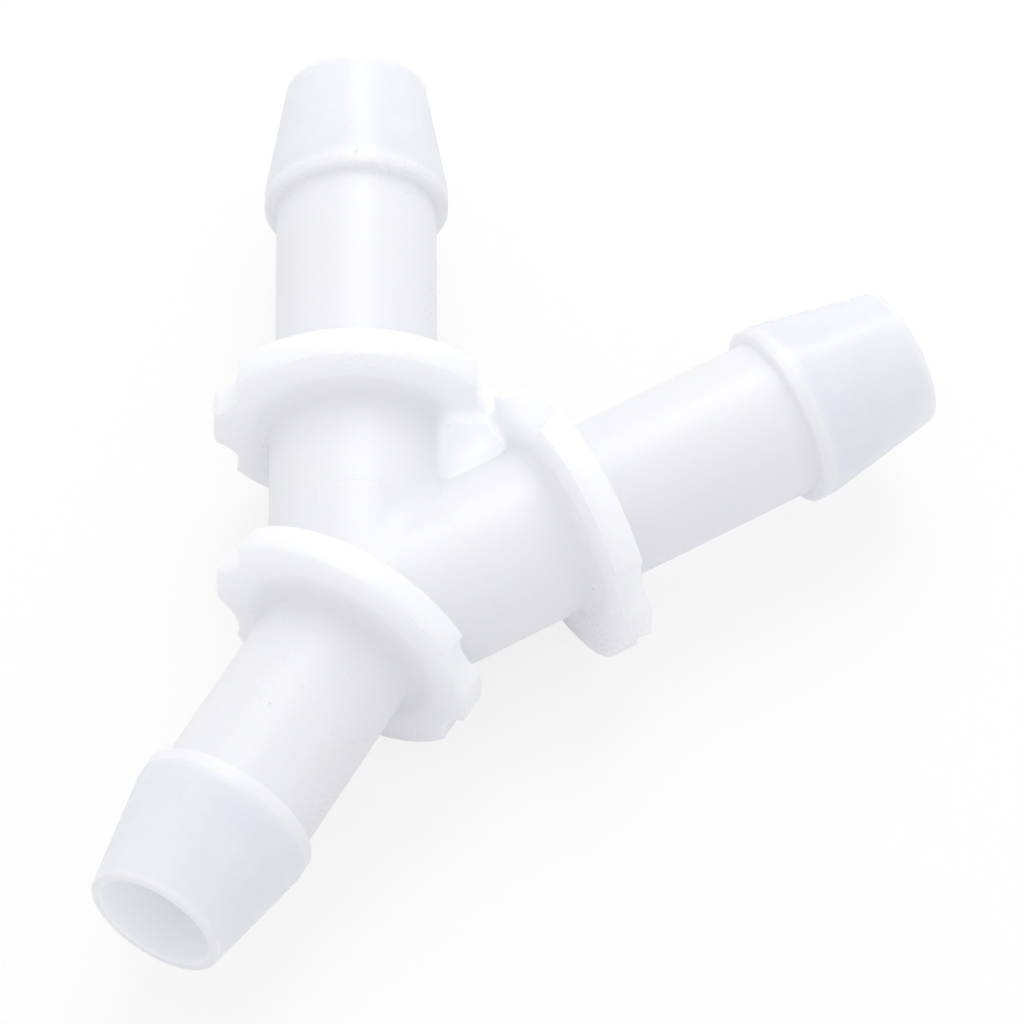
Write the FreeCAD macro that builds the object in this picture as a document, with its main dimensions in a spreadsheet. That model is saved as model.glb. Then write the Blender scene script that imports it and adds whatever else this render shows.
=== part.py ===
import FreeCAD, Part
import math
import os

import Sketcher

os.makedirs("parts", exist_ok=True)

V = FreeCAD.Vector
NODE = "y_hose_connector"

doc = FreeCAD.newDocument("YHoseConnector")

# Driving sizes in millimetres and degrees. The three arm axes meet at the origin in the plane z = 0.
# The stem runs along -X and the two branches lie half a fork angle either side of +X.
SIZES = [
    ("fork_angle", 60.0, "angle between the two branches"),
    ("stem_length", 23.2, "axis crossing to the stem mouth"),
    ("branch_length", 37.3, "axis crossing to a branch mouth"),
    ("bore_dia", 7.2, "flow bore through every arm"),
    ("tube_dia", 9.6, "hose seat behind each barb"),
    ("root_dia", 10.3, "branch between the crossing and its collar"),
    ("barb_dia", 11.0, "crest of each barb"),
    ("tip_dia", 8.4, "leading end of each barb"),
    ("barb_length", 8.6, "shoulder to mouth"),
    ("barb_land", 1.2, "cylindrical crest behind the cone"),
    ("collar_dia", 16.9, "collar that stops the hose"),
    ("collar_thickness", 1.8, "collar along its arm"),
    ("collar_edge", 0.2, "bevel of the collar rim"),
    ("collar_blend", 1.0, "concave blend between collar and tube"),
    ("branch_collar_from", 13.3, "axis crossing to the near face of a branch collar"),
    ("scallop_angle", 22.0, "scallop centre above and below the plane of the arms"),
    ("scallop_depth", 0.8, "depth of a scallop in the collar rim"),
    ("scallop_radius", 2.5, "radius of the scallop cutter"),
    ("scoop_angle", 59.0, "centre of the dished flat on the right collar, from the crotch side"),
    ("scoop_depth", 1.1, "depth of the dished flat"),
    ("scoop_radius", 4.0, "radius of the dished flat"),
    ("web_thickness", 1.6, "web that fills the crotch up to the collars"),
    ("overrun", 0.5, "length each cutter runs past what it cuts"),
]
DERIVED = [
    ("half_fork", "=fork_angle / 2"),
    ("bore_radius", "=bore_dia / 2"),
    ("tube_radius", "=tube_dia / 2"),
    ("root_radius", "=root_dia / 2"),
    ("barb_radius", "=barb_dia / 2"),
    ("tip_radius", "=tip_dia / 2"),
    ("collar_radius", "=collar_dia / 2"),
    ("collar_face_radius", "=collar_radius - collar_edge"),
    ("stem_shoulder", "=stem_length - barb_length"),
    ("stem_crest_end", "=stem_shoulder + barb_land"),
    ("stem_bore_end", "=stem_length + overrun"),
    ("stem_rim_to", "=collar_thickness - collar_edge"),
    ("branch_shoulder", "=branch_length - barb_length"),
    ("branch_crest_end", "=branch_shoulder + barb_land"),
    ("branch_bore_end", "=branch_length + overrun"),
    ("branch_collar_to", "=branch_collar_from + collar_thickness"),
    ("branch_rim_from", "=branch_collar_from + collar_edge"),
    ("branch_rim_to", "=branch_collar_to - collar_edge"),
    ("collar_half", "=collar_thickness / 2"),
    ("collar_mid", "=branch_collar_from + collar_half"),
    ("collar_mid_along", "=collar_mid * cos(half_fork * 1deg)"),
    ("collar_mid_aside", "=collar_mid * sin(half_fork * 1deg)"),
    ("web_tip", "=collar_mid / cos(half_fork * 1deg)"),
    ("scallop_offset", "=collar_radius - scallop_depth + scallop_radius"),
    ("scallop_side", "=scallop_offset * cos(scallop_angle * 1deg)"),
    ("scallop_rise", "=scallop_offset * sin(scallop_angle * 1deg)"),
    ("scoop_offset", "=collar_radius - scoop_depth + scoop_radius"),
    ("scoop_side", "=scoop_offset * cos(scoop_angle * 1deg)"),
    ("scoop_rise", "=scoop_offset * sin(scoop_angle * 1deg)"),
    ("rim_cut", "=collar_thickness + 2 * overrun"),
]

sheet = doc.addObject("Spreadsheet::Sheet", "Sizes")
for row, (name, value, note) in enumerate(SIZES, 1):
    sheet.set(f"A{row}", name)
    sheet.set(f"B{row}", str(value))
    sheet.set(f"C{row}", note)
    sheet.setAlias(f"B{row}", name)
for row, (name, formula) in enumerate(DERIVED, len(SIZES) + 2):
    sheet.set(f"A{row}", name)
    sheet.set(f"B{row}", formula)
    sheet.setAlias(f"B{row}", name)
doc.recompute()


def size(name):
    """Value of a named size, turned round by a leading minus; no name is zero."""
    value = float(sheet.get(name.lstrip("-"))) if name else 0.0
    return -value if name.startswith("-") else value


body = doc.addObject("PartDesign::Body", "Connector")
body.Label = NODE


def plane(role):
    return next(item for item in body.Origin.OriginFeatures if item.Role == role)


def new_sketch(name, role, **offsets):
    """Sketch on an origin plane, turned and moved in the plane's own axes by named sizes."""
    sketch = body.newObject("Sketcher::SketchObject", name)
    sketch.AttachmentSupport = [(plane(role), "")]
    sketch.MapMode = "FlatFace"
    for path, expression in offsets.items():
        group = "Rotation" if path in ("Yaw", "Pitch", "Roll") else "Base"
        sketch.setExpression(f".AttachmentOffset.{group}.{path}", expression)
    return sketch


def dimension(sketch, kind, elements, name):
    """Dimension tied to a named size; a leading minus measures it the other way."""
    plain = name.lstrip("-")
    if name != plain:
        elements = elements[2:] + elements[:2]
    index = sketch.addConstraint(Sketcher.Constraint(kind, *elements, size(plain)))
    sketch.renameConstraint(index, f"{plain}_{index}")
    sketch.setExpression(f"Constraints[{index}]", f"Sizes.{plain}")


def corner_arc(before, corner, after, radius):
    """Ends, centre and turn of the arc that rounds a corner between two straight runs."""
    back = (before - corner).normalize()
    ahead = (after - corner).normalize()
    half = back.getAngle(ahead) / 2
    reach = radius / math.tan(half)
    centre = corner + (back + ahead).normalize() * (radius / math.sin(half))
    turn = -back.x * ahead.y + back.y * ahead.x
    return corner + back * reach, corner + ahead * reach, centre, turn > 0


def outline(sketch, points):
    """Closed profile from (size for x, size for y, size for rounding), every point tied to its sizes."""
    spots = [V(size(x), size(y), 0) for x, y, _ in points]
    count = len(points)
    runs = [[spots[i], spots[(i + 1) % count]] for i in range(count)]
    arcs = {}
    for i, (_, _, rounding) in enumerate(points):
        if rounding:
            start, end, centre, left = corner_arc(spots[i - 1], spots[i], spots[(i + 1) % count], size(rounding))
            runs[i - 1][1], runs[i][0] = start, end
            arcs[i] = (start, end, centre, left)
    for start, end in runs:
        sketch.addGeometry(Part.LineSegment(start, end), False)
    for i, (x, y, rounding) in enumerate(points):
        ahead_x, ahead_y, ahead_round = points[(i + 1) % count]
        if x == ahead_x and (x or ahead_round):
            sketch.addConstraint(Sketcher.Constraint("Vertical", i))
            if rounding and ahead_round:
                dimension(sketch, "DistanceX", (-1, 1, i, 1), x)
        elif y == ahead_y and y:
            sketch.addConstraint(Sketcher.Constraint("Horizontal", i))
            if rounding and ahead_round:
                dimension(sketch, "DistanceY", (-1, 1, i, 1), y)
        if rounding:
            start, end, centre, left = arcs[i]
            first, last = (start, end) if left else (end, start)
            angles = [math.atan2((p - centre).y, (p - centre).x) for p in (first, last)]
            if angles[1] < angles[0]:
                angles[1] += 2 * math.pi
            circle = Part.Circle(centre, V(0, 0, 1), size(rounding))
            arc = sketch.addGeometry(Part.ArcOfCircle(circle, *angles), False)
            sketch.addConstraint(Sketcher.Constraint("Tangent", (i - 1) % count, 2, arc, 1 if left else 2))
            sketch.addConstraint(Sketcher.Constraint("Tangent", i, 1, arc, 2 if left else 1))
            dimension(sketch, "Radius", (arc,), rounding)
            continue
        sketch.addConstraint(Sketcher.Constraint("Coincident", (i - 1) % count, 2, i, 1))
        before_x, before_y, before_round = points[i - 1]
        if not x:
            sketch.addConstraint(Sketcher.Constraint("PointOnObject", i, 1, -2))
        elif x != before_x or before_round:
            dimension(sketch, "DistanceX", (-1, 1, i, 1), x)
        if not y:
            sketch.addConstraint(Sketcher.Constraint("PointOnObject", i, 1, -1))
        elif y != before_y or before_round:
            dimension(sketch, "DistanceY", (-1, 1, i, 1), y)


def revolve(kind, name, sketch):
    feature = body.newObject(f"PartDesign::{kind}", name)
    feature.Profile = sketch
    feature.ReferenceAxis = (sketch, ["H_Axis"])
    feature.Angle = 360
    return feature


def arm_profile(kind):
    """Half section of one arm from the axis crossing to the mouth."""
    return ARM_START[kind] + [
        (f"{kind}_rim_to", "collar_radius", ""),
        (COLLAR_END[kind], "collar_face_radius", ""),
        (COLLAR_END[kind], "tube_radius", "collar_blend"),
        (f"{kind}_shoulder", "tube_radius", ""),
        (f"{kind}_shoulder", "barb_radius", ""),
        (f"{kind}_crest_end", "barb_radius", ""),
        (f"{kind}_length", "tip_radius", ""),
        (f"{kind}_length", "", ""),
    ]


ARM_START = {
    "stem": [("", "", ""), ("", "collar_face_radius", ""), ("collar_edge", "collar_radius", "")],
    "branch": [
        ("", "", ""),
        ("", "root_radius", ""),
        ("branch_collar_from", "root_radius", "collar_blend"),
        ("branch_collar_from", "collar_face_radius", ""),
        ("branch_rim_from", "collar_radius", ""),
    ],
}
COLLAR_END = {"stem": "collar_thickness", "branch": "branch_collar_to"}
# Name, kind of arm, its turn about z, and the place of its collar's middle across and along X.
ARMS = [
    ("stem", "stem", "180deg", "0mm", "-Sizes.collar_half"),
    ("left", "branch", "Sizes.half_fork * 1deg", "Sizes.collar_mid_aside", "Sizes.collar_mid_along"),
    ("right", "branch", "-Sizes.half_fork * 1deg", "-Sizes.collar_mid_aside", "Sizes.collar_mid_along"),
]


def fused(name, sketch, thickness):
    """Pad of the same thickness to both sides of its sketch."""
    pad = body.newObject("PartDesign::Pad", name)
    pad.Profile = sketch
    pad.SideType = "Symmetric"
    pad.setExpression("Length", f"Sizes.{thickness}")


def rim_cut(name, arm, radius, centres):
    """Round cutters through one collar, checked to remove material."""
    _, kind, turn, aside, along = arm
    doc.recompute()
    before = body.Shape.Volume
    pitch = "0deg" if kind == "stem" else turn
    sketch = new_sketch(f"{name}_outline", "YZ_Plane", Pitch=pitch, x=aside, z=along)
    for side, rise in centres:
        centre = V(size(side), size(rise), 0)
        circle = sketch.addGeometry(Part.Circle(centre, V(0, 0, 1), size(radius)), False)
        dimension(sketch, "DistanceX", (-1, 1, circle, 3), side)
        dimension(sketch, "DistanceY", (-1, 1, circle, 3), rise)
        dimension(sketch, "Radius", (circle,), radius)
    pocket = body.newObject("PartDesign::Pocket", name)
    pocket.Profile = sketch
    pocket.SideType = "Symmetric"
    pocket.setExpression("Length", "Sizes.rim_cut")
    doc.recompute()
    if not body.Shape.Volume < before:
        raise ValueError(f"{name} removes nothing")


for name, kind, turn, _, _ in ARMS:
    sketch = new_sketch(f"{name}_outline", "XY_Plane", Yaw=turn)
    outline(sketch, arm_profile(kind))
    revolve("Revolution", f"{name}_arm", sketch)

sketch = new_sketch("web_outline", "XY_Plane")
corners = [("", ""), ("collar_mid_along", "-collar_mid_aside"), ("web_tip", ""), ("collar_mid_along", "collar_mid_aside")]
outline(sketch, [(x, y, "") for x, y in corners])
fused("crotch_web", sketch, "web_thickness")

SCALLOPS = [(side + "scallop_side", rise + "scallop_rise") for side in ("", "-") for rise in ("", "-")]
for arm in ARMS:
    rim_cut(f"{arm[0]}_scallops", arm, "scallop_radius", SCALLOPS)
rim_cut("right_scoop", ARMS[-1], "scoop_radius", [("scoop_side", "scoop_rise")])

for name, kind, turn, _, _ in ARMS:
    sketch = new_sketch(f"{name}_bore_outline", "XY_Plane", Yaw=turn)
    end = f"{kind}_bore_end"
    outline(sketch, [("", "", ""), ("", "bore_radius", ""), (end, "bore_radius", ""), (end, "", "")])
    revolve("Groove", f"{name}_bore", sketch)
doc.recompute()

for item in doc.Objects:
    if "Invalid" in item.State:
        raise ValueError(f"{item.Name} is invalid")
if body.Shape.isNull() or not body.Shape.isValid() or len(body.Shape.Solids) != 1:
    raise ValueError("the connector isn't one valid solid")
body.Shape.exportStep(f"parts/{NODE}.step")
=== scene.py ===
import math

import bmesh
import bpy
from mathutils import Matrix, Quaternion, Vector


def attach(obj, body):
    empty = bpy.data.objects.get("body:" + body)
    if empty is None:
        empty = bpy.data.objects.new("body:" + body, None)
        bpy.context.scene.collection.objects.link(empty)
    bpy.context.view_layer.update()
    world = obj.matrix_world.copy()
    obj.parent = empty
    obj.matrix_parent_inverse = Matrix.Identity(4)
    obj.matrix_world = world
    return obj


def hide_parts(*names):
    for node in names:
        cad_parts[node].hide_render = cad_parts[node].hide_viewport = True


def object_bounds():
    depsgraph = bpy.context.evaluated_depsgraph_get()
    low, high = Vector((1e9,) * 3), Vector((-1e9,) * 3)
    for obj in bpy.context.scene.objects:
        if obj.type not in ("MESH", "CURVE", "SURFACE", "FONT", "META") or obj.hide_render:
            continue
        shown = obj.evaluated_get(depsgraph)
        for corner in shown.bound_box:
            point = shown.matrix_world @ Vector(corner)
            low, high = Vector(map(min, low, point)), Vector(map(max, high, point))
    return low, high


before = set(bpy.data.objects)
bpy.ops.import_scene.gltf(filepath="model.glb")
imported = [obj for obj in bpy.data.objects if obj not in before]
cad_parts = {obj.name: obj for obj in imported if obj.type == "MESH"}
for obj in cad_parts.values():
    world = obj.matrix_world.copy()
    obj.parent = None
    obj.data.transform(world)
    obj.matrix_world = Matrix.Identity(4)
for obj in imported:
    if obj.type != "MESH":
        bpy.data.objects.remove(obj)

MM = 0.001
NODE = "y_hose_connector"
cad_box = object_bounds()
bpy.ops.object.select_all(action="DESELECT")

# Sizes of the moulding in millimetres, as in the part's source
FORK_HALF = math.radians(30)
STEM_LENGTH = 23.2
BRANCH_LENGTH = 37.3
BORE = 3.6
TUBE = 4.8
ROOT = 5.15
BARB = 5.5
TIP = 4.2
BARB_LENGTH = 8.6
BARB_LAND = 1.2
COLLAR = 8.45
COLLAR_THICKNESS = 1.8
COLLAR_BLEND = 1.0
BRANCH_COLLAR_FROM = 13.3
SCALLOP_ANGLES = [math.radians(a) for a in (22, -22, 158, -158)]
SCALLOP_DEPTH = 0.8
SCALLOP_RADIUS = 2.5
SCOOP_ANGLE = math.radians(59)
SCOOP_DEPTH_NEAR = 1.5
SCOOP_DEPTH_FAR = 0.6
SCOOP_RADIUS = 4.0
WEB_HALF = 0.8
WEB_REACH = 9.5

# Roundings that a mould leaves on the edges, and how finely each form is divided
RIM_ROUND = 0.25
SHOULDER_ROUND = 0.15
CREST_ROUND = 0.12
CONE_ROUND = 0.8
MOUTH_ROUND = 0.14
WEB_FILLET = 1.3
SEAM_BLEND = 1.0
BORE_EDGE = 0.5
WITNESS_AT = 6.7
WITNESS_WIDTH = 0.16
WITNESS_HEIGHT = 0.03
STEPS = 180
CUTTER_STEPS = 60
ARC_POINTS = 5
OVERLAP = 0.02
RUN_OUT = 0.3
THIN = 0.002
WELD = 0.004
TUBE_LEAD = 1
WEB_COLUMNS = (1, 3, 9)
SEAM_FROM = 1.2
SEAM_STEPS = 5
RIM_STEPS = 4
CREASE = math.radians(6)
CREASE_LIMIT = math.radians(30)
SMOOTH_LIMIT = math.radians(32)

# Directions of the stem, of the left branch, from that branch towards the crotch, and up
STEM = Vector((-1, 0, 0))
LEFT = Vector((math.cos(FORK_HALF), math.sin(FORK_HALF), 0))
CROTCH = Vector((math.sin(FORK_HALF), -math.cos(FORK_HALF), 0))
UP = Vector((0, 0, 1))


def rounded(corners):
    """Stations through (along, radius, rounding) corners, each rounding drawn as an arc."""
    line = []
    count = len(corners)
    for i, (x, r, rounding) in enumerate(corners):
        corner = Vector((x, r))
        if not rounding:
            line.append(corner)
            continue
        before = (Vector(corners[i - 1][:2]) - corner).normalized()
        after = (Vector(corners[(i + 1) % count][:2]) - corner).normalized()
        half = before.angle(after) / 2
        reach = rounding / math.tan(half)
        start, end = corner + before * reach, corner + after * reach
        centre = corner + (before + after).normalized() * (rounding / math.sin(half))
        sweep = (start - centre).angle_signed(end - centre)
        for step in range(ARC_POINTS + 1):
            turn = Matrix.Rotation(-sweep * step / ARC_POINTS, 2)
            line.append(centre + turn @ (start - centre))
    return line


def edit(piece):
    """Opens a piece in edit mode with everything selected."""
    bpy.ops.object.select_all(action="DESELECT")
    bpy.context.view_layer.objects.active = piece
    piece.select_set(True)
    bpy.ops.object.mode_set(mode="EDIT")
    bpy.ops.mesh.select_all(action="SELECT")


def close(piece):
    """Leaves edit mode with the faces pointing outwards."""
    bpy.ops.mesh.select_all(action="SELECT")
    bpy.ops.mesh.normals_make_consistent(inside=False)
    bpy.ops.object.mode_set(mode="OBJECT")
    piece.select_set(False)
    return piece


def apply(piece, kind, **settings):
    """Adds a modifier, sets it and applies it."""
    bpy.context.view_layer.objects.active = piece
    step = piece.modifiers.new(kind.lower(), kind)
    for name, value in settings.items():
        setattr(step, name, value)
    bpy.ops.object.modifier_apply(modifier=step.name)


def combine(base, operation, *others):
    """Joins the others to the base or cuts them from it, and removes them."""
    for other in others:
        apply(base, "BOOLEAN", operation=operation, solver="EXACT", object=other)
        bpy.data.objects.remove(other)


def drawn(name, way, stations, turn=0.0, steps=STEPS):
    """A disc drawn out along an arm, ring by ring, through its (along, radius) stations."""
    start, radius = stations[0]
    facing = way.to_track_quat("Z", "Y") @ Quaternion((0, 0, 1), turn)
    bpy.ops.mesh.primitive_circle_add(vertices=steps, radius=radius * MM, fill_type="NGON",
                                      location=way * start * MM, rotation=facing.to_euler())
    piece = bpy.context.active_object
    piece.name = name
    bpy.ops.object.transform_apply(location=True, rotation=True, scale=True)
    edit(piece)
    for (before, was), (after, now) in zip(stations, stations[1:]):
        move = way * (after - before) * MM
        bpy.ops.mesh.extrude_region_move(TRANSFORM_OT_translate={"value": move})
        bpy.ops.transform.resize(value=[now / was] * 3, center_override=way * after * MM)
    return close(piece)


def tidied(piece):
    """Merges the doubles and slivers that cutting leaves."""
    edit(piece)
    bpy.ops.mesh.remove_doubles(threshold=WELD * MM)
    bpy.ops.mesh.dissolve_degenerate(threshold=THIN * MM)
    return close(piece)


def rod(start, end, radius):
    """A round cutter from one point to another."""
    way = end - start
    facing = way.to_track_quat("Z", "Y").to_euler()
    bpy.ops.mesh.primitive_cylinder_add(vertices=CUTTER_STEPS, radius=radius * MM, depth=way.length * MM,
                                        location=(start + end) / 2 * MM, rotation=facing)
    bpy.ops.object.transform_apply(location=True, rotation=True, scale=True)
    return bpy.context.active_object


def mirrored_pair(branch):
    """The left branch cut in the plane midway between the two, and its mirror image joined to it."""
    edit(branch)
    bpy.ops.mesh.bisect(plane_co=(0, 0, 0), plane_no=(0, 1, 0), clear_inner=True, threshold=THIN * MM)
    close(branch)
    apply(branch, "MIRROR", use_axis=(False, True, False), merge_threshold=WELD * MM)
    edit(branch)
    bpy.ops.mesh.remove_doubles(threshold=WELD * MM)
    return close(branch)


def web_reach(angle):
    """Distance from a branch's axis to its root, widened into the web on the crotch side."""
    away = abs(angle)
    level = WEB_HALF + WEB_FILLET
    centre = math.sqrt((ROOT + WEB_FILLET) ** 2 - level ** 2)
    if away >= math.atan2(level, centre):
        return ROOT
    if away >= math.atan2(WEB_HALF, centre):
        ahead = centre * math.cos(away) + level * math.sin(away)
        across = centre * math.sin(away) - level * math.cos(away)
        return ahead - math.sqrt(max(0.0, WEB_FILLET ** 2 - across ** 2))
    if away >= math.atan2(WEB_HALF, WEB_REACH):
        return WEB_HALF / math.sin(away)
    return WEB_REACH / math.cos(away)


def spread(first, last, count):
    """Evenly spaced angles from the first up to, but not with, the last."""
    return [first + (last - first) * step / count for step in range(count)]


def branch_angles():
    """Angles round a branch, close together where the web's fillet needs them."""
    level = WEB_HALF + WEB_FILLET
    centre = math.sqrt((ROOT + WEB_FILLET) ** 2 - level ** 2)
    tip = math.atan2(WEB_HALF, WEB_REACH)
    flat = math.atan2(WEB_HALF, centre)
    fillet = math.atan2(level, centre)
    turns = []
    for start, end, count in zip((0, tip, flat), (tip, flat, fillet), WEB_COLUMNS):
        turns += spread(start, end, count)
    turns += spread(fillet, math.pi, round((math.pi - fillet) / (2 * math.pi) * STEPS)) + [math.pi]
    return turns + [-turn for turn in reversed(turns[1:-1])]


def draw_out_web(branch):
    """Spaces the branch's columns of points, and pulls the skin of its root out into half of the web."""
    turns = branch_angles()
    edit(branch)
    mesh = bmesh.from_edit_mesh(branch.data)
    for vert in mesh.verts:
        along = vert.co.dot(LEFT)
        out = vert.co - LEFT * along
        angle = math.atan2(out.z, out.dot(CROTCH))
        turn = turns[round(angle / (2 * math.pi) * len(turns)) % len(turns)]
        on_root = along < (BRANCH_COLLAR_FROM + OVERLAP) * MM
        radius = max(out.length, web_reach(turn) * MM if on_root else 0)
        vert.co = LEFT * along + (CROTCH * math.cos(turn) + UP * math.sin(turn)) * radius
    bmesh.update_edit_mesh(branch.data)
    return close(branch)


def soften_seam(fork):
    """Blends the crease where the roots of the two branches meet."""
    def on_seam(edge):
        """True for an edge in the middle plane, between the stem and the collars."""
        return all(abs(vert.co.y) < WELD * MM and SEAM_FROM * MM < vert.co.x < BRANCH_COLLAR_FROM * MM
                   for vert in edge.verts)

    edit(fork)
    bpy.ops.mesh.select_all(action="DESELECT")
    mesh = bmesh.from_edit_mesh(fork.data)
    for edge in mesh.edges:
        if on_seam(edge) and edge.calc_face_angle(0) > CREASE:
            edge.select_set(True)
    bmesh.update_edit_mesh(fork.data)
    bpy.ops.mesh.bevel(offset=SEAM_BLEND * MM, segments=SEAM_STEPS, affect="EDGES", clamp_overlap=False,
                       loop_slide=True)
    return close(fork)


def collar(name, way, aside, start, turn=0.0, scoop=False):
    """Stop collar: a disc with shallow scallops in its rim, and on one branch a dished flat."""
    end = start + COLLAR_THICKNESS
    disc = drawn(name, way, [(start, COLLAR), (end, COLLAR)], turn)
    cutters = []
    for angle in SCALLOP_ANGLES:
        out = (aside * math.cos(angle) + UP * math.sin(angle)) * (COLLAR - SCALLOP_DEPTH + SCALLOP_RADIUS)
        cutters.append(rod(way * (start - RUN_OUT) + out, way * (end + RUN_OUT) + out, SCALLOP_RADIUS))
    if scoop:
        out = aside * math.cos(SCOOP_ANGLE) + UP * math.sin(SCOOP_ANGLE)
        near = way * start + out * (COLLAR - SCOOP_DEPTH_NEAR)
        far = way * end + out * (COLLAR - SCOOP_DEPTH_FAR)
        slope = far - near
        lift = (out * slope.dot(way) - way * slope.dot(out)).normalized() * SCOOP_RADIUS
        cutters.append(rod(near - slope + lift, far + slope + lift, SCOOP_RADIUS))
    combine(disc, "DIFFERENCE", *cutters)
    tidied(disc)
    apply(disc, "BEVEL", width=RIM_ROUND * MM, segments=RIM_STEPS, limit_method="ANGLE",
          angle_limit=CREASE_LIMIT)
    return tidied(disc)


def witness_ring():
    """Stations of the faint ring that a joint in the mould leaves on a root."""
    low, high = ROOT - WITNESS_HEIGHT, ROOT + WITNESS_HEIGHT
    return [(WITNESS_AT - WITNESS_WIDTH, low), (WITNESS_AT, high), (WITNESS_AT + WITNESS_WIDTH, low)]


def flare(radius, x, side):
    """Stations of the blend from an arm of a radius up to its collar's face at x."""
    points = []
    for step in range(ARC_POINTS + 1):
        angle = math.pi / 2 * step / ARC_POINTS
        back = COLLAR_BLEND * (1 - math.sin(angle)) - OVERLAP
        points.append((x - side * back, radius + COLLAR_BLEND * (1 - math.cos(angle))))
    return points if side > 0 else points[::-1]


def barbed_end(length):
    """Stations of the hose end: tube, shoulder, crest, cone and tip, each corner rounded."""
    shoulder = length - BARB_LENGTH
    return rounded([
        (shoulder - TUBE_LEAD, TUBE, 0),
        (shoulder, TUBE, SHOULDER_ROUND),
        (shoulder, BARB, CREST_ROUND),
        (shoulder + BARB_LAND, BARB, CONE_ROUND),
        (length, TIP, MOUTH_ROUND),
        (length, TIP - BORE_EDGE, 0),
    ])


def bore_stations(length, radius):
    """Cutter for one bore, from just past the crossing to its flared mouth."""
    end = length + RUN_OUT
    return [(-RUN_OUT, radius), (length - MOUTH_ROUND, radius), (end, radius + MOUTH_ROUND + RUN_OUT)]


def moulding():
    """The whole fitting: stem, fork and collars joined, then the three bores."""
    half_step = math.pi / STEPS
    stem = flare(TUBE, COLLAR_THICKNESS, -1) + barbed_end(STEM_LENGTH)
    body = drawn("connector", STEM, [(COLLAR_THICKNESS / 2, TUBE + COLLAR_BLEND)] + stem, half_step)
    root = [(-RUN_OUT, ROOT)] + flare(ROOT, BRANCH_COLLAR_FROM, 1)
    stations = root + flare(TUBE, BRANCH_COLLAR_FROM + COLLAR_THICKNESS, -1) + barbed_end(BRANCH_LENGTH)
    branch = drawn("fork", LEFT, stations, math.pi / 2, len(branch_angles()))
    fork = mirrored_pair(draw_out_web(branch))
    others = [collar("stem_collar", STEM, Vector((0, 1, 0)), 0, half_step)]
    for side, scoop in ((1, False), (-1, True)):
        way = Vector((LEFT.x, side * LEFT.y, 0))
        crotch = Vector((CROTCH.x, side * CROTCH.y, 0))
        others.append(collar("branch_collar", way, crotch, BRANCH_COLLAR_FROM, half_step, scoop))
        others.append(drawn("witness_ring", way, witness_ring(), half_step))
    combine(body, "UNION", soften_seam(fork), *others)
    bores = mirrored_pair(drawn("branch_bores", LEFT, bore_stations(BRANCH_LENGTH, BORE)))
    stem_bore = drawn("stem_bore", STEM, bore_stations(STEM_LENGTH, BORE - OVERLAP), half_step)
    combine(body, "DIFFERENCE", bores, stem_bore)
    return tidied(body)


connector = moulding()
bpy.context.view_layer.objects.active = connector
connector.select_set(True)
bpy.ops.object.shade_smooth_by_angle(angle=SMOOTH_LIMIT)
apply(connector, "WEIGHTED_NORMAL", keep_sharp=True)
connector.select_set(False)
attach(connector, "root")
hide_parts(NODE)

# Look of the plastic: colours are linear, lengths in millimetres, pairs where a zone starts and is full
MILK_COOL = (0.947, 0.949, 0.987, 1)
MILK_WARM = (0.958, 0.957, 0.988, 1)
FLANGE_MILK = (0.95, 0.954, 0.98, 1)
CLEAR_COOL = (0.79, 0.807, 0.86, 1)
CLEAR_WARM = (0.822, 0.835, 0.88, 1)
CROSSING = 0.5
RIM_CLEAR = 0.1
# Painted bright rim: width of the paler milky band at the mouth of each hose end, standing in for light
# glowing through the thin edge; also the width over which the clear tint fades in behind the crest
RIM_PAINTED_GLOW = 0.6
WEB_FROM = (8.5, 10.5)
WEB_ACROSS = (2.5, 4.2)
WEB_RISE = (1.0, 2.6)
FLANGE_FROM = (5.7, 6.4)
BORE_SKIN = (BORE + 0.05, BORE + 0.2)
PATCHES = (0.35, 0.65)
CLOUD_SIZE = 9
CLOUD_DETAIL = 3
FLOW_SIZE = 2.6
FLOW_DETAIL = 2
GRAIN_SIZE = 0.16
GRAIN_DETAIL = 1
GRAIN_SHARE = 0.5
GRAIN_DARK = (0.9, 0.9, 0.94, 1)
GRAIN_HEIGHT = 0.0025
RIPPLE_HEIGHT = 0.02
ROUGHNESS = 0.3
ROUGHNESS_SPREAD = 0.1
CONE_GLOSS = 0.09
BENDING = 1.49
GLOSS = 0.5
SUBSURFACE = 1.0
SUBSURFACE_DEPTH = 2.2
TRANSLUCENCY = 0.25
THROUGH_TONE = (0.92, 0.922, 0.955, 1)
UNLIT = (0, 0, 0, 1)
# Painted glow: light given off by the bore walls, the collars and the crotch web, standing in for light
# carried through the plastic
BORE_PAINTED_GLOW = (0.095, 0.095, 0.099, 1)
FLANGE_PAINTED_GLOW = (0.05, 0.05, 0.052, 1)
WEB_PAINTED_GLOW = (0.21, 0.212, 0.218, 1)
SPECK_SPACING = 2.2
SPECK_STRETCH = (0.5, 1.7, 1.7)
SPECK_SIZE = 0.13
SPECK_CORE = 0.6
SPECK_CHANCE = 0.78
SHARP = 0.01
SPECK_STRENGTH = 0.5
SPECK_COLOUR = (0.3, 0.29, 0.31, 1)


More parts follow.
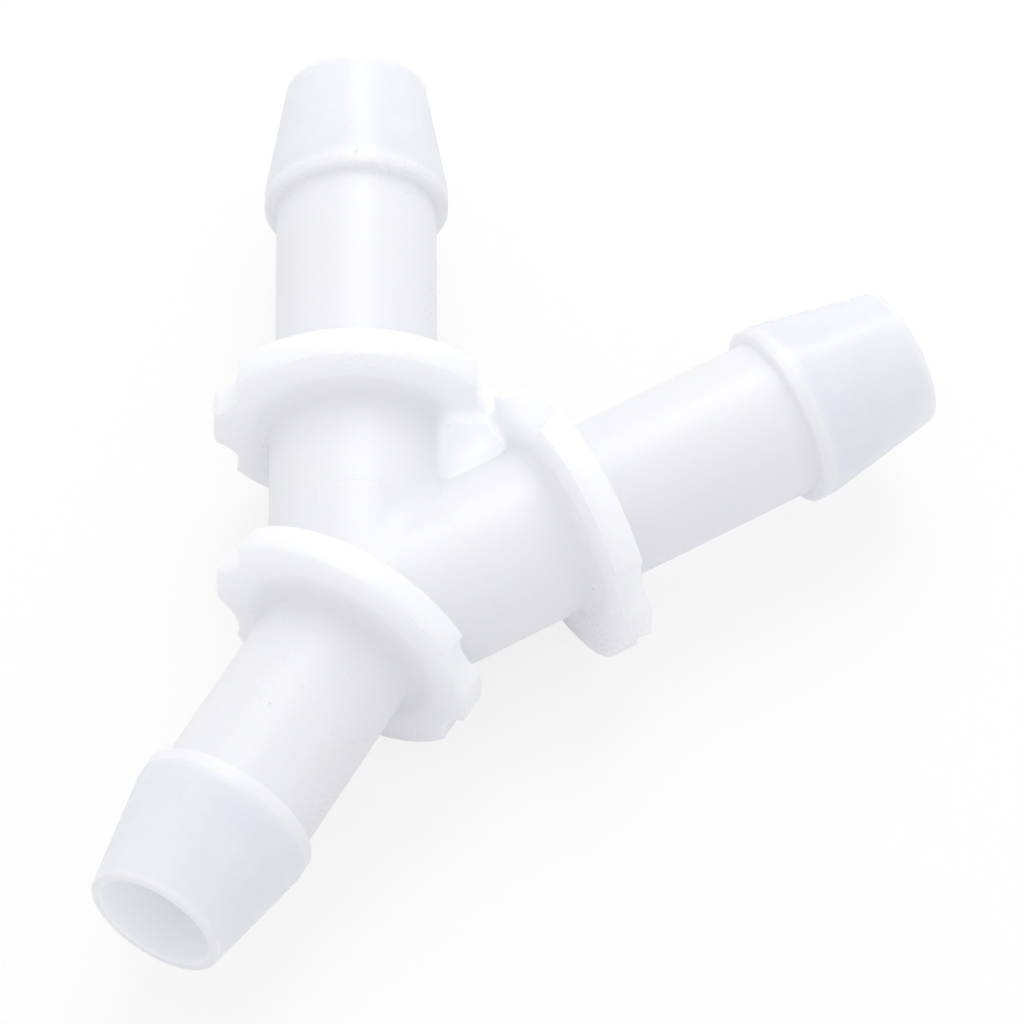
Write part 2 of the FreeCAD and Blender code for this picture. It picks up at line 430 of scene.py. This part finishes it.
class Value:
    """A number over the surface: a socket whose arithmetic adds Math nodes."""

    def __init__(self, shader, socket):
        self.shader = shader
        self.socket = socket

    def _math(self, operation, *values):
        return self.shader.node("ShaderNodeMath", {"operation": operation}, dict(enumerate(values)))

    def __add__(self, other):
        return self._math("ADD", self, other)

    def __radd__(self, other):
        return self._math("ADD", other, self)

    def __sub__(self, other):
        return self._math("SUBTRACT", self, other)

    def __rsub__(self, other):
        return self._math("SUBTRACT", other, self)

    def __mul__(self, other):
        return self._math("MULTIPLY", self, other)

    def __rmul__(self, other):
        return self._math("MULTIPLY", other, self)

    def size(self):
        return self._math("ABSOLUTE", self)

    def root(self):
        return self._math("SQRT", self)

    def step(self, low, high):
        """Rises smoothly from 0 at low to 1 at high."""
        settings = {"interpolation_type": "SMOOTHSTEP"}
        return self.shader.node("ShaderNodeMapRange", settings, {0: self, 1: low, 2: high})

    def rise(self, low, high):
        """The same for a distance, with the limits in millimetres."""
        return self.step(low * MM, high * MM)


SEEN_RAYS = ("Is Camera Ray", "Is Glossy Ray", "Is Transmission Ray")


class Shader:
    """The nodes of a material or of the room, all made by one method."""

    def __init__(self, owner):
        owner.use_nodes = True
        self.tree = owner.node_tree
        self.tree.nodes.clear()

    def node(self, kind, settings=None, inputs=None, output=0):
        """A node with its settings, sockets and one output, or a tuple of them."""
        new = self.tree.nodes.new(kind)
        for name, value in (settings or {}).items():
            setattr(new, name, value)
        for socket, value in (inputs or {}).items():
            self.feed(new.inputs[socket], value)
        if isinstance(output, tuple):
            return [Value(self, new.outputs[name]) for name in output]
        return Value(self, new.outputs[output]) if new.outputs else None

    def feed(self, socket, value):
        """Links a socket to a value over the surface, or sets it."""
        if isinstance(value, Value):
            self.tree.links.new(value.socket, socket)
        else:
            socket.default_value = value

    def mix(self, factor, low, high):
        """Colour between low and high."""
        return self.node("ShaderNodeMix", {"data_type": "RGBA"}, {0: factor, 6: low, 7: high}, output=2)

    def seen(self):
        """1 on the rays that show a surface to the camera, also in a reflection or through glass."""
        return sum(self.node("ShaderNodeLightPath", output=SEEN_RAYS))

    def noise(self, place, size, detail):
        """Soft noise whose patches are about so many millimetres across."""
        inputs = {"Vector": place, "Scale": 1 / (size * MM), "Detail": detail}
        return self.node("ShaderNodeTexNoise", None, inputs)

    def bump(self, height, **more):
        """Normal of a surface that rises by a height in metres."""
        inputs = {"Height": height, "Distance": 1.0, "Strength": 1.0}
        return self.node("ShaderNodeBump", None, {**inputs, **more})


def plastic_material():
    """Natural polypropylene as moulded: milky, faintly lavender, clearer at the hose ends, satin. Painted
    glow in the bores, collars and web and a painted bright rim at each mouth stand in for light carried
    through the walls.
    """
    material = bpy.data.materials.new("natural_plastic")
    shader = Shader(material)
    place = shader.node("ShaderNodeTexCoord", output=3)
    x, y, z = shader.node("ShaderNodeSeparateXYZ", None, {0: place}, output=(0, 1, 2))
    on_branch = x.rise(-CROSSING, CROSSING)
    on_stem = 1 - on_branch
    along = on_branch * (x * LEFT.x + y.size() * LEFT.y) - on_stem * x
    radius = (x * x + y * y + z * z - along * along).size().root()
    length = (on_branch * (BRANCH_LENGTH - STEM_LENGTH) + STEM_LENGTH) * MM
    to_tip = length - along
    cone = 1 - to_tip.rise(BARB_LENGTH - RIM_PAINTED_GLOW * 2, BARB_LENGTH - RIM_PAINTED_GLOW)
    inside = 1 - radius.rise(*BORE_SKIN)
    # Painted bright rim: near the mouth the clear tint gives way to the paler milky colour; the clear tint
    # is also kept off the bore walls
    cone = cone * to_tip.rise(RIM_CLEAR, RIM_PAINTED_GLOW) * (1 - inside)
    flange = radius.rise(*FLANGE_FROM)
    web = x.rise(*WEB_FROM) * (1 - y.size().rise(*WEB_ACROSS)) * (1 - z.size().rise(*WEB_RISE))
    # Painted glow: the bore walls, the collars and most of all the web give off light, a stand-in for light
    # scattered through the walls
    glow = shader.mix(inside, shader.mix(flange, UNLIT, FLANGE_PAINTED_GLOW), BORE_PAINTED_GLOW)
    glow = shader.mix(web, glow, WEB_PAINTED_GLOW)
    clouds = shader.noise(place, CLOUD_SIZE, CLOUD_DETAIL)
    flow = shader.noise(place, FLOW_SIZE, FLOW_DETAIL)
    milky = shader.mix(clouds.step(*PATCHES), MILK_COOL, MILK_WARM)
    milky = shader.mix(flange, milky, FLANGE_MILK)
    clear = shader.mix(flow.step(*PATCHES), CLEAR_COOL, CLEAR_WARM)
    colour = shader.mix(cone, milky, clear)
    grain = shader.noise(place, GRAIN_SIZE, GRAIN_DETAIL)
    colour = shader.mix(grain, shader.mix(GRAIN_SHARE, colour, GRAIN_DARK), colour)
    stretched = shader.node("ShaderNodeVectorMath", {"operation": "MULTIPLY"}, {0: place, 1: SPECK_STRETCH})
    cells = {"Vector": stretched, "Scale": 1 / (SPECK_SPACING * MM)}
    away, chance = shader.node("ShaderNodeTexVoronoi", None, cells, output=(0, 1))
    chance = shader.node("ShaderNodeSeparateXYZ", None, {0: chance})
    share = SPECK_SIZE / SPECK_SPACING
    speck = (1 - away.step(share * SPECK_CORE, share)) * chance.step(SPECK_CHANCE, SPECK_CHANCE + SHARP)
    colour = shader.mix(speck * SPECK_STRENGTH, colour, SPECK_COLOUR)
    ripple = shader.bump(flow * RIPPLE_HEIGHT * MM)
    surface = shader.node("ShaderNodeBsdfPrincipled", {"subsurface_method": "RANDOM_WALK"}, {
        "Base Color": colour,
        "Roughness": (clouds + grain - 1) * ROUGHNESS_SPREAD + ROUGHNESS - cone * CONE_GLOSS,
        "IOR": BENDING,
        "Specular IOR Level": GLOSS,
        "Subsurface Weight": SUBSURFACE,
        "Subsurface Radius": (1.0, 1.0, 1.0),
        "Subsurface Scale": SUBSURFACE_DEPTH * MM,
        "Normal": shader.bump(grain * GRAIN_HEIGHT * MM, Normal=ripple),
        # The emission is painted glow, not a lamp
        "Emission Color": glow,
        "Emission Strength": 1.0,
    })
    through = shader.node("ShaderNodeBsdfTranslucent", None, {"Color": THROUGH_TONE})
    surface = shader.node("ShaderNodeMixShader", None, {0: TRANSLUCENCY, 1: surface, 2: through})
    shader.node("ShaderNodeOutputMaterial", None, {"Surface": surface})
    return material


connector.data.materials.clear()
connector.data.materials.append(plastic_material())

# Camera at the photograph's viewing angle
CAMERA_AZIMUTH = math.radians(-62.73)
CAMERA_ELEVATION = math.radians(58.506)
CAMERA_ROLL = math.radians(2.679)
CAMERA_DISTANCE = 576.7 * MM
CAMERA_AIM = Vector((9.262, -5.107, 3.61)) * MM
FIELD_OF_VIEW = 2 * math.atan(512 / 9873.3)

back = Vector((
    math.sin(CAMERA_AZIMUTH) * math.cos(CAMERA_ELEVATION),
    -math.cos(CAMERA_AZIMUTH) * math.cos(CAMERA_ELEVATION),
    math.sin(CAMERA_ELEVATION),
))
camera = bpy.data.objects.new("camera", bpy.data.cameras.new("camera"))
camera.data.angle = FIELD_OF_VIEW
camera.location = CAMERA_AIM + back * CAMERA_DISTANCE
turn = back.to_track_quat("Z", "Y").to_matrix() @ Matrix.Rotation(CAMERA_ROLL, 3, "Z")
camera.rotation_euler = turn.to_euler()
bpy.context.scene.collection.objects.link(camera)
bpy.context.scene.camera = camera
bpy.context.scene.view_settings.view_transform = "Standard"

# Pale floor and soft studio light
FLOOR_HALF = 600
FLOOR_TONE = (0.9, 0.9, 0.9, 1)
FLOOR_LIFT = 0.75
ROOM_LIGHT = 0.91
ROOM_TONE = (0.98, 0.984, 1.0, 1)
WHITE = (1, 1, 1, 1)
LAMPS = [("softbox", (153, 79, 281), 230, 0.22), ("low_softbox", (225, 85, 225), 150, 0.13)]


def floor():
    """Pale floor under the fitting, lifted to white where the camera sees it unshaded."""
    bpy.ops.mesh.primitive_plane_add(size=2 * FLOOR_HALF * MM, location=(0, 0, cad_box[0][2]))
    piece = bpy.context.active_object
    piece.name = "floor"
    bpy.ops.object.transform_apply(location=True, rotation=True, scale=True)
    piece.select_set(False)
    material = bpy.data.materials.new("floor_paint")
    shader = Shader(material)
    paint = shader.node("ShaderNodeBsdfDiffuse", None, {"Color": FLOOR_TONE})
    glow = shader.node("ShaderNodeEmission", None, {"Color": WHITE})
    both = shader.node("ShaderNodeMixShader", None, {0: shader.seen() * FLOOR_LIFT, 1: paint, 2: glow})
    shader.node("ShaderNodeOutputMaterial", None, {"Surface": both})
    piece.data.materials.append(material)


def room():
    """Even light from all round, with a white backdrop where the camera looks past the floor."""
    world = bpy.data.worlds.new("studio")
    shader = Shader(world)
    light = shader.node("ShaderNodeBackground", None, {"Color": ROOM_TONE, "Strength": ROOM_LIGHT})
    backdrop = shader.node("ShaderNodeBackground", None, {"Color": WHITE})
    both = shader.node("ShaderNodeMixShader", None, {0: shader.seen(), 1: light, 2: backdrop})
    shader.node("ShaderNodeOutputWorld", None, {"Surface": both})
    bpy.context.scene.world = world


def lamps():
    """Broad soft lamps that face the fitting."""
    for name, place, width, energy in LAMPS:
        light = bpy.data.lights.new(name, "AREA")
        light.size = width * MM
        light.energy = energy
        lamp = bpy.data.objects.new(name, light)
        lamp.location = Vector(place) * MM
        lamp.rotation_euler = Vector(place).to_track_quat("Z", "Y").to_euler()
        bpy.context.scene.collection.objects.link(lamp)


floor()
room()
lamps()
